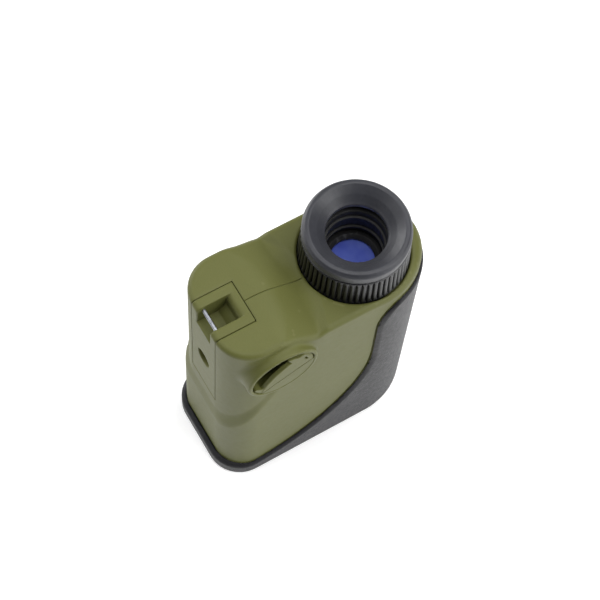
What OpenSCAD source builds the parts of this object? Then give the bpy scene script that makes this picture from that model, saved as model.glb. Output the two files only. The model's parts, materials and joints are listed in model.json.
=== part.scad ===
// Monocular laser rangefinder, built as an assembly of separate pieces.
// It stands on its front rim: +Z runs along the optical axis to the eyepiece,
// +Y is the top with the buttons, and +X is the side with the battery cap.
// The origin is the middle of the front rim's resting face.

/* [Body] */
// Half of the casing's width
half_w = 18; // [17.5:0.1:19]
// Height of the casing's underside below the origin
under_y = 34.7; // [34:0.1:36]
// Place of the centre of the casing's round top
crown_y = 17.9; // [17.5:0.1:19]
// Radius of the casing's lower long edges
corner_r = 10; // [8:0.5:11]
// Height of the flat rear face
rear_z = 94.5; // [93.5:0.1:96]
// Height of the lower rear platform under the eyepiece
platform_z = 88; // [87.5:0.1:88.2]
// Thickness of the casing's walls
wall = 2; // [1.8:0.1:2.2]
// How far the lower casing stands out from the upper
flare = 0.7; // [0.4:0.1:1]

/* [Rubber armour] */
// Thickness of the rubber over the casing
rubber_t = 1.6; // [1.4:0.1:2]
// Height of the armour's front rim
rim_h = 6.4; // [5:0.1:8]
// How far the rim stands out further on the underside
rim_drop = 1; // [0:0.1:1.2]
// Height of the armour's rear edge
grip_top_z = 84; // [80:0.5:85]
// Radius of the large sweep in the armour's edge
sweep_r = 45.6; // [44:0.1:46]

/* [Eyepiece] */
// Place of the sighting axis above the origin
sight_y = 16; // [15.5:0.1:16.2]
// Radius over the ribs of the diopter ring
ring_r = 16.8; // [16.5:0.1:17]
// Number of ribs round the diopter ring
rib_count = 58; // [40:1:64]
// Height of the eyecup's crest
eyecup_z = 106; // [105.5:0.1:108]
// Travel of the ocular cell each way
diopter_travel = 1.5; // [1:0.1:1.5]

/* [Battery] */
// Radius of the round cell
battery_r = 7.8; // [7.5:0.1:7.8]
// Length of the round cell
battery_len = 27; // [26.5:0.1:27]
// Place of the battery axis above the origin
battery_y = -19.2; // [-19.5:0.1:-19]
// Height of the battery axis
battery_z = 80; // [79.8:0.1:80.2]
// Radius of the raised boss round the cap
boss_r = 11.7; // [11.5:0.1:12]
// Reach of the boss from the middle plane
boss_x = 20.6; // [20.2:0.1:21]
// Radius of the cap
cap_r = 10.1; // [9.9:0.1:10.1]

/* [Strap and tripod] */
// Half width of the insert that holds the strap pin and the tripod bush
insert_half_w = 7.05; // [6.8:0.05:7.3]
// Lowest point of the insert's strip
insert_z = 47.5; // [46:0.5:48]
// Half width of the strap's notch
notch_half_w = 3.9; // [3.5:0.1:4.2]
// Radius of the strap pin
strap_pin_r = 0.65; // [0.5:0.05:0.7]
// Height of the tripod socket
tripod_z = 66.8; // [64:0.1:68]
// Radius of the bore in the threaded tripod bush
tripod_bore_r = 2.6; // [2.5:0.05:2.7]

/* [Buttons] */
// Height of the fire button's middle
fire_z = 22; // [21:0.5:23]
// Length of the fire button along the body
fire_len = 15; // [13:0.5:15]
// Half width of the fire button
fire_half_w = 5; // [4:0.1:5]
// Height of the mode button's middle
mode_z = 44; // [42:0.5:46]
// Radius of the mode button
mode_r = 4.2; // [3.5:0.1:4.5]
// Travel of each button
press = 0.8; // [0.5:0.1:0.9]

/* [Optics] */
// Radius of the objective's lenses
objective_r = 11; // [10.5:0.1:11]
// Place of the laser receiver's axis
receiver_y = -17; // [-17.2:0.1:-16.8]
// Radius of the receiver lens
receiver_r = 9.6; // [9:0.1:9.6]
// Place of the laser emitter's axis
laser_y = -1.4; // [-1.6:0.1:-1.2]
// Radius of the laser's collimating lens
laser_r = 2.8; // [2.4:0.1:2.8]

/* [Hidden] */
$fn = 72;
gap = 0.1;            // clearance round a seated piece
skin_gap = 0.05;      // clearance between the rubber and the casing
run_fit = 0.08;       // radial clearance of a running fit
shell_z = 4;          // front end of both casing halves
plate_z = 2.5;        // front face of the front plate
slope_lo_y = -14.6;   // where the rear face starts to fall
slope_hi_y = -1;      // where the rear face reaches the platform
flare_z = 38;         // upper end of the wider lower casing
big = 60;             // more than half of the object in any direction
sweep_y = 15.3 - sweep_r;              // centre of the armour's sweep
sweep_z = rim_h + sweep_r;
grip_y = sweep_y + sweep_r;            // the armour's straight edge
grip_corner_r = 8;
insert_depth_y = -21.3;                // inner end of the insert's head
insert_top_z = rear_z - 0.2;
insert_head_z = 84;                    // lower end of the insert's head
insert_t = 3;
scoop_r = 10.6;                        // notch floor, round the battery axis
notch_y = -24.8;
notch_floor_z = 86.5;
strap_pin_y = -under_y + 2.4;
strap_pin_z = 92.2;
strap_pin_half = 6;                    // half of the strap pin's length
tripod_hole_r = 3.25;                  // hole in the insert, in front of the bush
bush_r = 4.6;
bush_y = -under_y + 1.4;               // outer face of the bush
bush_len = 5.5;
bush_floor_y = -under_y + 6.2;         // blind end of the bush's bore
bush_post_r = 6.6;                     // the insert's post round the bush
sleeve_in_r = battery_r + 0.3;
sleeve_r = sleeve_in_r + 1;
sleeve_x = 17.2;                       // open end of the battery sleeve
sleeve_end_x = -15;                    // closed end of the battery sleeve
sleeve_floor_x = -14.2;
battery_x = -13.4;                     // inner end of the cell
battery_end_x = battery_x + battery_len;
cap_x = 18.2;                          // underside of the cap's disc
cap_face_x = boss_x - 0.25;            // the cap's flat half
cap_recess_x = cap_x + 0.5;            // floor of the finger recess
cap_bar_half = 2.1;                    // half width of the cap's grip bar
cap_pad_x = 19.8;                      // low pad beside the bar
cap_pad_top = 4.7;
cap_bar_tilt = 24;
shank_end_x = 13.4;                    // inner end of the cap's shank
shank_in_r = 6.6;
spring_wire_r = 0.4;
tube_r = 12.6;                         // fixed eyepiece tube
tube_in_r = 11;
tube_z0 = 68.5;
tube_top_z = 99.8;
tube_flange_r = 15.2;                  // flange under the casing's rear wall
ring_z = 88.4;                         // lower end of the diopter ring
ring_top_z = 101;
ring_in_r = tube_r + run_fit;
rib_r = 0.55;
cell_r = tube_in_r - run_fit;          // sliding ocular cell
cell_in_r = 9.4;
cell_z = 71;
cell_top_z = 97;
low_ridge_z = 87.6;                    // two raised rings inside the ocular cell
high_ridge_z = 93.6;
ridge_h = 0.6;
field_lens_z = 72;
field_lens_top_z = 75.6;
eye_lens_z = 78.9;
eye_lens_top_z = 83.3;
pin_z = 92;                            // diopter pin
pin_r = 0.8;
pin_reach = pin_r + diopter_travel + 0.3;  // slot's half length along the axis
pin_foot = 9.9;                        // inner end of the pin from the sighting axis
button_top_y = 38.2;
button_gap = 0.3;                      // clearance round the buttons, and over the domes
board_y = 29.6;                        // lower face of the button board
board_t = 0.8;
dome_h = 0.5;
dome_r = 2.5;
stem_y = board_y + board_t + dome_h + press + button_gap;  // lower face of both buttons
button_step = 0.6;                     // set-in of each button's top
button_lip = 1.2;                      // flange that holds each button in
button_lip_t = 0.5;
post_r = 2.3;
screw_r = 1;
head_r = 1.9;
head_depth = 2.4;                      // seat of each screw head below the surface
head_t = 1.2;
slot_half_w = 0.25;                    // cross recess in each head
slot_half_len = 1.4;
// Middle of each casing screw and the reach of the casing there: y, z, x
screw_spots = [[31.3, 9.5, 10.5], [31.3, 72, 10.5], [-30.2, 11.5, 15.6], [-30.2, 41, 15.2]];
tubes_z = 4;                           // front ends of the optical tubes
lens_z = 5;                            // front of both large lenses
flint_z = 9.6;                         // where the objective's two lenses meet
keeper_w = 0.8;                        // width of the rings that hold them
objective_tube_r = objective_r + 1.4;
receiver_tube_r = receiver_r + 1;
laser_tube_r = laser_r + 0.6;
sensor_seat_z = 44;                    // rear end of the receiver tube's bore
sensor_r = 4.2;
receiver_board_z = 49.5;
laser_end_z = 34;                      // rear end of the laser tube
prism_half_x = 12.6;
prism_low_y = 4.2;
prism_high_y = 26.2;
prism_wall = 1.5;
prism_cut_y = 24.4;                    // upper faces of both prisms
prism_foot_y = 6;                      // lower faces of both prisms
prism_half_w = 10;
prism_z = 30;
prism_top_z = 60;
display_z = 63.5;                      // floor of the display panel's seat
panel_half = 9.1;
panel_top_z = 65.2;
flex_t = 0.2;
board_x = 15.6;                        // main board's outer face
board_in_x = 1.2 - board_x;            // its inner face

// ---- Shared shapes -------------------------------------------------------

// Lays an outline drawn in (y, z) along X, from x0 to x1
module along_x(x0, x1) {
    translate([x0, 0, 0]) rotate([90, 0, 90]) linear_extrude(x1 - x0) children();
}

// Round bar along X
module bar_x(r, x0, x1, y, z) {
    translate([x0, y, z]) rotate([0, 90, 0]) cylinder(r = r, h = x1 - x0);
}

// Round bar along Y
module bar_y(r, y0, y1, x, z) {
    translate([x, y0, z]) rotate([-90, 0, 0]) cylinder(r = r, h = y1 - y0);
}

// Round bar along Z on the middle plane
module bar_z(r, z0, z1, y, x = 0) {
    translate([x, y, z0]) cylinder(r = r, h = z1 - z0);
}

// Tube along Z on the middle plane
module tube_z(r, inner_r, z0, z1, y) {
    difference() {
        bar_z(r, z0, z1, y);
        bar_z(inner_r, z0 - 1, z1 + 1, y);
    }
}

// Box between two corners
module block(low, high) {
    translate(low) cube(high - low);
}

// Casing outline seen from the rear, grown by d
module outline(d) {
    translate([0, crown_y]) circle(r = half_w + d);
    for (side = [-1, 1])
        translate([side * (half_w - corner_r), corner_r - under_y]) circle(r = corner_r + d);
    translate([-half_w - d, corner_r - under_y]) square([2 * (half_w + d), crown_y + under_y - corner_r]);
    translate([corner_r - half_w, -under_y - d]) square([2 * (half_w - corner_r), corner_r + d]);
}

// Casing outline drawn out along Z
module column(d, z0, z1) {
    translate([0, 0, z0]) linear_extrude(z1 - z0) outline(d);
}

// Outline of the armour's front rim
module rim_outline() {
    outline(rubber_t);
    translate([0, -rim_drop]) outline(rubber_t);
}

// Side view of everything below the stepped rear face, lowered by d
module rear_profile(d) {
    along_x(-big, big)
        polygon([[-big, 0], [big, 0], [big, platform_z - d], [slope_hi_y, platform_z - d],
            [slope_lo_y, rear_z - d], [-big, rear_z - d]]);
}

// Side view of the rubber armour's top part
module grip_region() {
    along_x(-big, big) difference() {
        translate([sweep_y, 0]) square([big - sweep_y, grip_top_z]);
        translate([sweep_y, sweep_z]) circle(r = sweep_r, $fn = 144);
        translate([sweep_y - 1, sweep_z]) square([sweep_r + 1, big]);
        difference() {
            translate([grip_y - 1, grip_top_z - grip_corner_r]) square(grip_corner_r + 1);
            translate([grip_y + grip_corner_r, grip_top_z - grip_corner_r]) circle(r = grip_corner_r);
        }
    }
}

// Space taken by the strap insert, grown by d
module insert_space(d) {
    half = insert_half_w + d;
    block([-half, -under_y - 2, insert_z - d], [half, -under_y + insert_t + d, rear_z + 1]);
    block([-half, -under_y - 2, insert_head_z - d], [half, insert_depth_y + d, rear_z + 1]);
}

// Space taken by both buttons where they pass the casing, grown by d
module button_space(d) {
    fire_prism(fire_half_w + d, fire_len / 2 + d, stem_y, button_top_y + 2);
    bar_y(mode_r + d, stem_y, button_top_y + 2, 0, mode_z);
}

// Long button shape with round ends, along Y
module fire_prism(half_width, half_length, y0, y1) {
    straight = half_length - half_width;
    for (side = [-1, 1])
        bar_y(half_width, y0, y1, 0, fire_z + side * straight);
    block([-half_width, y0, fire_z - straight], [half_width, y1, fire_z + straight]);
}

// A lens between two faces: r is its edge, and bulge the rise of a face, or 0 where it is flat
module lens(r, z0, z1, y, low_bulge, high_bulge) {
    low_r = ball_radius(r, low_bulge);
    high_r = ball_radius(r, high_bulge);
    intersection() {
        bar_z(r, z0, z1, y);
        if (low_bulge > 0) translate([0, y, z0 + low_r]) sphere(r = low_r, $fn = 240);
        if (high_bulge > 0) translate([0, y, z1 - high_r]) sphere(r = high_r, $fn = 240);
    }
}

// Radius of the ball whose cap of edge radius r rises by bulge
function ball_radius(r, bulge) = bulge > 0 ? (r * r + bulge * bulge) / (2 * bulge) : 0;

// ---- Casing --------------------------------------------------------------

// Solid casing with both halves still joined
module casing() {
    difference() {
        union() {
            intersection() {
                column(0, shell_z, rear_z + 1);
                rear_profile(0);
            }
            difference() {
                column(flare, shell_z, flare_z);
                column(-wall, shell_z - 1, flare_z + 1);
                grip_region();
            }
        }
        intersection() {
            column(-wall, shell_z - 1, rear_z + 1);
            rear_profile(wall);
        }
        bar_z(tube_r + 0.6, platform_z - wall - 1, rear_z + 1, sight_y);
        insert_space(gap);
        button_space(button_gap);
    }
    for (spot = screw_spots)
        intersection() {
            bar_x(post_r, -spot[2] - 3, spot[2] + 3, spot[0], spot[1]);
            column(-wall / 2, shell_z, rear_z);
        }
}

// One half of the casing: side is -1 for left and 1 for right
module half_casing(side) {
    intersection() {
        casing();
        block([side < 0 ? -big : 0, -big, 0], [side < 0 ? 0 : big, big, 2 * big]);
    }
}

module left_shell() {
    color("darkolivegreen") difference() {
        half_casing(-1);
        for (spot = screw_spots) {
            bar_x(screw_r + gap, -big, 1, spot[0], spot[1]);
            bar_x(head_r + gap, -big, -spot[2] + head_depth, spot[0], spot[1]);
        }
    }
}

module right_shell() {
    color("darkolivegreen") difference() {
        union() {
            half_casing(1);
            bar_x(boss_r, half_w - wall, boss_x, battery_y, battery_z);
            translate([half_w - gap, battery_y, battery_z])
                rotate([0, 90, 0]) cylinder(r1 = boss_r + 1.6, r2 = boss_r, h = 1.4);
        }
        bar_x(sleeve_r + gap, 1, big, battery_y, battery_z);
        bar_x(cap_r + 0.3, sleeve_x, big, battery_y, battery_z);
        for (spot = screw_spots)
            bar_x(screw_r, -1, spot[2] - 3.2, spot[0], spot[1]);
    }
}

module rubber_armour() {
    color("dimgray") difference() {
        union() {
            intersection() {
                difference() {
                    column(rubber_t, 0, grip_top_z);
                    column(skin_gap, -1, grip_top_z + 1);
                }
                grip_region();
            }
            difference() {
                linear_extrude(rim_h) rim_outline();
                column(flare + skin_gap, plate_z - gap, rim_h + 1);
                column(-1.2, -1, rim_h);
            }
        }
        column(flare + skin_gap, plate_z - gap, shell_z);
        button_space(button_gap);
    }
}

module front_plate() {
    color("black") difference() {
        column(flare - 0.1, plate_z, shell_z - gap);
        bar_z(objective_r - 0.6, 0, shell_z + 1, sight_y);
        bar_z(receiver_r - 0.6, 0, shell_z + 1, receiver_y);
        bar_z(laser_r - 0.3, 0, shell_z + 1, laser_y);
    }
}

module shell_screws() {
    color("silver") for (spot = screw_spots)
        difference() {
            union() {
                bar_x(head_r, head_depth - head_t - spot[2], head_depth - spot[2], spot[0], spot[1]);
                bar_x(screw_r, head_depth - 0.1 - spot[2], spot[2] - 3.4, spot[0], spot[1]);
            }
            translate([head_depth - head_t - spot[2], spot[0], spot[1]]) {
                block([-1, -slot_half_len, -slot_half_w], [0.5, slot_half_len, slot_half_w]);
                block([-1, -slot_half_w, -slot_half_len], [0.5, slot_half_w, slot_half_len]);
            }
        }
}

// ---- Strap pin and tripod socket -------------------------------------------

module strap_insert() {
    color("darkolivegreen") difference() {
        union() {
            block([-insert_half_w, -under_y, insert_z], [insert_half_w, -under_y + insert_t, insert_top_z]);
            block([-insert_half_w, -under_y, insert_head_z], [insert_half_w, insert_depth_y, insert_top_z]);
            block([-insert_half_w - 2, -under_y + wall + gap, insert_z - 2],
                [insert_half_w + 2, -under_y + insert_t + 0.4, insert_head_z]);
            bar_y(bush_post_r, -under_y + insert_t, -under_y + 6.5, 0, tripod_z);
        }
        bar_x(sleeve_r + 0.3, -big, big, battery_y, battery_z);
        difference() {
            block([-notch_half_w, -big, notch_floor_z], [notch_half_w, notch_y, big * 2]);
            bar_x(scoop_r, -big, big, battery_y, battery_z);
        }
        bar_x(strap_pin_r, -strap_pin_half, strap_pin_half, strap_pin_y, strap_pin_z);
        bar_y(tripod_hole_r, -big, bush_y + 0.6, 0, tripod_z);
        bar_y(bush_r, bush_y, 0, 0, tripod_z);
    }
}

module strap_pin() {
    color("silver") bar_x(strap_pin_r, -strap_pin_half, strap_pin_half, strap_pin_y, strap_pin_z);
}

module tripod_bush() {
    color("gold") difference() {
        bar_y(bush_r, bush_y, bush_y + bush_len, 0, tripod_z);
        bar_y(tripod_bore_r, -big, bush_floor_y, 0, tripod_z);
    }
}

// ---- Buttons ---------------------------------------------------------------

module fire_button() {
    color("dimgray") {
        fire_prism(fire_half_w, fire_len / 2, stem_y, button_top_y - 0.4);
        fire_prism(fire_half_w - button_step, fire_len / 2 - button_step, stem_y, button_top_y);
        fire_prism(fire_half_w + button_lip, fire_len / 2 + button_lip, stem_y, stem_y + button_lip_t);
    }
}

module mode_button() {
    color("dimgray") {
        bar_y(mode_r, stem_y, button_top_y - 0.5, 0, mode_z);
        bar_y(mode_r - button_step, stem_y, button_top_y - 0.1, 0, mode_z);
        bar_y(mode_r + button_lip, stem_y, stem_y + button_lip_t, 0, mode_z);
    }
}

module button_board() {
    color("green") block([-8, board_y, 13], [8, board_y + board_t, 56]);
}

module button_domes() {
    color("silver") for (z = [fire_z, mode_z])
        bar_y(dome_r, board_y + board_t, board_y + board_t + dome_h, 0, z);
}

// ---- Battery ---------------------------------------------------------------

module battery_sleeve() {
    color("black") difference() {
        bar_x(sleeve_r, sleeve_end_x, sleeve_x, battery_y, battery_z);
        bar_x(sleeve_in_r, sleeve_floor_x, big, battery_y, battery_z);
        bar_x(1, -big, 0, battery_y, battery_z - 5);
    }
}

module battery_contact() {
    color("silver") {
        bar_x(6, sleeve_floor_x, sleeve_floor_x + 0.4, battery_y, battery_z);
        bar_x(2, sleeve_floor_x + 0.3, battery_x - 0.1, battery_y, battery_z);
    }
}

module battery() {
    color("royalblue") {
        bar_x(battery_r, battery_x, battery_end_x - 1, battery_y, battery_z);
        bar_x(3.2, battery_end_x - 1.1, battery_end_x, battery_y, battery_z);
    }
}

module battery_leads() {
    color("red") for (y = [-22, -17])
        bar_z(0.5, 58, battery_z - sleeve_r - gap, y, 0.6 - board_x);
}

module battery_cap() {
    color("darkolivegreen") {
        translate([0, battery_y, battery_z]) rotate([cap_bar_tilt, 0, 0]) {
            difference() {
                bar_x(cap_r, cap_x, cap_face_x, 0, 0);
                block([cap_recess_x, -big, cap_bar_half], [big, big, big]);
            }
            intersection() {
                union() {
                    block([cap_recess_x - 0.1, -cap_r, -cap_bar_half], [boss_x, cap_r, cap_bar_half]);
                    block([cap_recess_x - 0.1, 0.4, 0], [cap_pad_x, 8.2, cap_pad_top]);
                }
                bar_x(cap_r - 0.2, 0, big, 0, 0);
            }
        }
        difference() {
            bar_x(sleeve_in_r - 0.2, shank_end_x, cap_x + 0.1, battery_y, battery_z);
            bar_x(shank_in_r, shank_end_x - 1, cap_x - 1, battery_y, battery_z);
        }
    }
}

module cap_seal() {
    color("black") translate([sleeve_x + 0.5, battery_y, battery_z]) rotate([0, 90, 0])
        rotate_extrude() translate([9.3, 0]) circle(r = 0.45);
}

module cap_contact() {
    color("silver") bar_x(6.2, 16.3, 16.8, battery_y, battery_z);
}

// Conical contact spring drawn as its stacked turns
module cap_spring() {
    color("gold") translate([16.3, battery_y, battery_z]) rotate([0, -90, 0])
        for (turn = [0:3])
            rotate_extrude()
                translate([5 - turn, spring_wire_r * (1 + 1.5 * turn)]) circle(r = spring_wire_r);
}

// ---- Eyepiece ----------------------------------------------------------------

module diopter_ring() {
    color("black") translate([0, sight_y, 0]) difference() {
        union() {
            cylinder_between(ring_r - 0.55, ring_z, ring_top_z);
            translate([0, 0, ring_z + 0.8]) linear_extrude(10.6) {
                circle(r = ring_r - 0.5);
                for (i = [0 : rib_count - 1])
                    rotate(i * 360 / rib_count) translate([ring_r - rib_r, 0]) circle(r = rib_r);
            }
        }
        cylinder_between(ring_in_r, ring_z - 1, ring_top_z + 1);
        cylinder_between(ring_in_r + 1.2, pin_z - pin_reach, pin_z + pin_reach);
    }
}

// Round bar along Z about the origin
module cylinder_between(r, z0, z1) {
    translate([0, 0, z0]) cylinder(r = r, h = z1 - z0);
}

module eyecup() {
    hole_r = 9.2;
    rim_r = 16.1;
    color("black") translate([0, sight_y, 0]) rotate_extrude()
        polygon([[hole_r, ring_top_z + 0.8], [14.2, eyecup_z], [15.2, eyecup_z - 0.2],
            [rim_r, eyecup_z - 1.4], [rim_r, ring_top_z], [ring_in_r, ring_top_z],
            [ring_in_r - 0.4, ring_top_z - 0.6], [hole_r, ring_top_z - 0.6]]);
}

module eyepiece_tube() {
    color("black") difference() {
        union() {
            bar_z(tube_r, tube_z0, tube_top_z, sight_y);
            bar_z(tube_flange_r, platform_z - 4.5, platform_z - wall - gap, sight_y);
        }
        bar_z(tube_in_r, tube_z0 - 1, tube_top_z + 1, sight_y);
        block([-pin_r - gap, sight_y, pin_z - pin_reach], [pin_r + gap, sight_y + 20, pin_z + pin_reach]);
    }
}

module ocular_cell() {
    color("black") difference() {
        bar_z(cell_r, cell_z, cell_top_z, sight_y);
        bar_z(cell_in_r - 0.5, cell_z - 1, cell_top_z + 1, sight_y);
        bar_z(cell_in_r, cell_z + 1, low_ridge_z, sight_y);
        bar_z(cell_in_r, low_ridge_z + ridge_h, high_ridge_z, sight_y);
        bar_z(cell_in_r, high_ridge_z + ridge_h, cell_top_z + 1, sight_y);
        bar_y(pin_r, sight_y + pin_foot, sight_y + 20, 0, pin_z);
    }
}

module diopter_pin() {
    color("silver") bar_y(pin_r, sight_y + pin_foot, sight_y + tube_r + 1.1, 0, pin_z);
}

module eye_lens() {
    color("steelblue") lens(cell_in_r, eye_lens_z, eye_lens_top_z, sight_y, 1.4, 1.2);
}

module eye_lens_ring() {
    color("black") tube_z(cell_in_r, 7.3, eye_lens_top_z, eye_lens_top_z + 1.3, sight_y);
}

module lens_spacer() {
    color("black") tube_z(cell_in_r, 8.4, field_lens_top_z, eye_lens_z, sight_y);
}

module field_lens() {
    color("steelblue") lens(cell_in_r, field_lens_z, field_lens_top_z, sight_y, 0.8, 1.2);
}

// ---- Sighting optics -----------------------------------------------------------

module objective_tube() {
    color("black") tube_z(objective_tube_r, objective_r, tubes_z, prism_z - gap, sight_y);
}

module objective_ring() {
    color("black") tube_z(objective_r, objective_r - keeper_w, tubes_z, lens_z, sight_y);
}

module objective_crown() {
    color("lightcyan") lens(objective_r, lens_z, flint_z, sight_y, 1.6, 0);
}

module objective_flint() {
    color("lightblue") lens(objective_r, flint_z, 12.6, sight_y, 0, 0.9);
}

module prism_housing() {
    color("black") difference() {
        block([-prism_half_x, prism_low_y, prism_z], [prism_half_x, prism_high_y, prism_top_z]);
        block([prism_wall - prism_half_x, prism_low_y + prism_wall, prism_z + prism_wall],
            [big, prism_high_y - prism_wall, prism_top_z - prism_wall]);
        bar_z(8.5, prism_z - 1, prism_top_z + 1, sight_y);
    }
}

module prism_cover() {
    color("silver")
        block([prism_half_x, prism_low_y, prism_z], [prism_half_x + 0.7, prism_high_y, prism_top_z]);
}

module half_penta_prism() {
    color("lightcyan") along_x(-prism_half_w, prism_half_w)
        polygon([[prism_foot_y, 33], [prism_cut_y, 33], [prism_cut_y, 41], [prism_foot_y, 48.6]]);
}

module roof_prism() {
    color("lightcyan") along_x(-prism_half_w, prism_half_w)
        polygon([[prism_cut_y, 41.6], [prism_cut_y, 56.5], [prism_foot_y, 56.5], [prism_foot_y, 49.2]]);
}

module display_frame() {
    color("black") difference() {
        block([-11.5, 4.5, prism_top_z + gap], [11.5, 27.5, display_z + 1.5]);
        bar_z(8, prism_top_z, big * 2, sight_y);
        block([-panel_half - gap, sight_y - panel_half - gap, display_z],
            [panel_half + gap, sight_y + panel_half + gap, big * 2]);
    }
}

module display_panel() {
    color("lightgreen") block([-panel_half, sight_y - panel_half, display_z + gap],
        [panel_half, sight_y + panel_half, panel_top_z]);
}

module display_flex() {
    color("orange") {
        block([board_in_x + flex_t, 10, panel_top_z], [-7, 16, panel_top_z + flex_t]);
        block([board_in_x, 10, 55], [board_in_x + flex_t, 16, panel_top_z + flex_t]);
    }
}

// ---- Laser and receiver --------------------------------------------------------

module receiver_tube() {
    color("black") {
        tube_z(receiver_tube_r, receiver_r, tubes_z, sensor_seat_z, receiver_y);
        tube_z(receiver_tube_r, sensor_r + 0.2, sensor_seat_z, sensor_seat_z + 2, receiver_y);
    }
}

module receiver_ring() {
    color("black") tube_z(receiver_r, receiver_r - keeper_w, tubes_z, lens_z, receiver_y);
}

module receiver_lens() {
    color("thistle") lens(receiver_r, lens_z, 9.8, receiver_y, 1.8, 0.6);
}

module receiver_sensor() {
    color("silver") bar_z(sensor_r, sensor_seat_z + 1, receiver_board_z, receiver_y);
}

module receiver_board() {
    color("green") block([-9, -25, receiver_board_z], [9, -9.5, receiver_board_z + 1.2]);
}

module laser_tube() {
    color("black") tube_z(laser_tube_r, laser_r, tubes_z, laser_end_z, laser_y);
}

module laser_lens() {
    color("thistle") lens(laser_r, 4.6, 6.8, laser_y, 0.5, 0.2);
}

module laser_diode() {
    color("silver") {
        bar_z(laser_r, laser_end_z - 4, laser_end_z, laser_y);
        bar_z(laser_tube_r, laser_end_z, laser_end_z + 1, laser_y);
    }
}

// ---- Electronics ---------------------------------------------------------------

module main_board() {
    color("green") block([-board_x, -24, 14], [board_in_x, 20, 58]);
}

module board_chips() {
    color("black") {
        block([board_in_x, -11, 46.8], [board_in_x + 1.2, -2, 56]);
        block([board_in_x, -23, 52], [board_in_x + 1.2, -15, 57]);
        block([board_in_x, -9, 20], [board_in_x + 1.6, -1, 28]);
        block([board_in_x, 1, 16], [board_in_x + 1, 8, 22]);
    }
}

module storage_capacitor() {
    color("darkslateblue") bar_z(3.2, 38, 54, -3.4, 10.8);
}

left_shell();
right_shell();
rubber_armour();
front_plate();
shell_screws();
strap_insert();
strap_pin();
tripod_bush();
fire_button();
mode_button();
button_board();
button_domes();
battery_sleeve();
battery_contact();
battery();
battery_leads();
battery_cap();
cap_seal();
cap_contact();
cap_spring();
diopter_ring();
eyecup();
eyepiece_tube();
ocular_cell();
diopter_pin();
eye_lens();
eye_lens_ring();
lens_spacer();
field_lens();
objective_tube();
objective_ring();
objective_crown();
objective_flint();
prism_housing();
prism_cover();
half_penta_prism();
roof_prism();
display_frame();
display_panel();
display_flex();
receiver_tube();
receiver_ring();
receiver_lens();
receiver_sensor();
receiver_board();
laser_tube();
laser_lens();
laser_diode();
main_board();
board_chips();
storage_capacitor();
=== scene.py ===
"""Looks of the laser rangefinder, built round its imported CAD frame.

Sizes in the shape functions are millimetres in the part's own frame: +Z to the eyepiece, +Y to the
buttons, +X to the battery cap. Meshes are scaled to metres as they are made.
"""

import json
import math

import bmesh
import bpy
import numpy as np
import openvdb
from mathutils import Matrix, Vector


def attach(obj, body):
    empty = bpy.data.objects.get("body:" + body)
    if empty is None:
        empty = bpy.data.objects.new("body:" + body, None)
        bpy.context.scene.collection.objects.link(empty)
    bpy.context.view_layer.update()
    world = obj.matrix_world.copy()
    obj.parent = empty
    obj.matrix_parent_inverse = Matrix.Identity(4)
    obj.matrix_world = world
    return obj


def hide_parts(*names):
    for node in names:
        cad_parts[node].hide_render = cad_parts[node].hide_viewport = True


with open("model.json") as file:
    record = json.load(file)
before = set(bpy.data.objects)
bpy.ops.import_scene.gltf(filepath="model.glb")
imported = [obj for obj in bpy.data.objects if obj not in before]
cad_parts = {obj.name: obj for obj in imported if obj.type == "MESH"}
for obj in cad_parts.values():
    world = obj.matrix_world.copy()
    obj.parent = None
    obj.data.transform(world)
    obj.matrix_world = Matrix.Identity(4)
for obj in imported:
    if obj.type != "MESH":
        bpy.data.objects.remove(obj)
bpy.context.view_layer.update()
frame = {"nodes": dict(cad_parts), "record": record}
MM = 0.001

# ---- Driving sizes -----------------------------------------------------------

HALF_W = 18.4          # casing half width at the sides
UNDER_Y = -35.3        # casing underside at its lower, wider part
CORNER_R = 10.0        # long lower edges
CROWN_Y = 16.0         # where the round top begins
CROWN_H = 21.4         # height of the round top
WALL = 2.0
SEAM_DEPTH, SEAM_HALF = 0.3, 0.18   # groove along the halves' seam on the rear face
SHELL_Z = 4.0          # front ends of the casing halves
REAR_Z = 94.5          # flat rear face
PLATFORM_Z = 89.8      # rear platform round the eyepiece
VALLEY_Y, VALLEY_Z = -2.7, 88.7   # low line between the slope and the platform
RING_SEAT_R, RING_SEAT_Z = 16.9, 88.0   # shallow seat that the diopter ring turns in
SLOPE = math.radians(25.5)
SLOPE_Y = -14.6        # where the rear face starts to fall
SIDE_LEAD = 3.9        # how much sooner it falls at the sides
RECESS = 0.6           # step between the wide lower casing and its upper part
RECESS_Z = 37.5        # height of that step on the underside
RECESS_RISE = 1.7      # how fast it climbs over the corner

SIGHT_Y = 16.0         # eyepiece and objective axis
EYE_BORE_R = 13.2      # casing hole that the eyepiece tube passes
RIBS = 58              # ribs of the diopter ring
BATTERY_Y, BATTERY_Z = -19.2, 80.0
BOSS_R, BOSS_X = 11.7, 20.6
CAP_R = 10.1
CAP_TILT = 24.2        # lie of the cap's grip
SLEEVE_X = 17.2        # floor of the cap's seat
TUNNEL_R = 9.2         # battery tunnel behind the cap
GRIP_EDGE = -3.2       # straight lower edge of the cap's grip, from its middle line
ARCH_ALONG, ARCH_OFF, ARCH_R = 6.8, -18.2, 22.3   # circle of the grip's upper edge
PAD_R, PAD_ALONG = 8.3, 4.4            # wider end of the grip
CAP_FLOOR_X = 17.4     # floor of the finger recess above the grip
UNDERCUT_X, UNDERCUT = 19.35, 4.0      # the recess reaches in under the grip below this x

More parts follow.
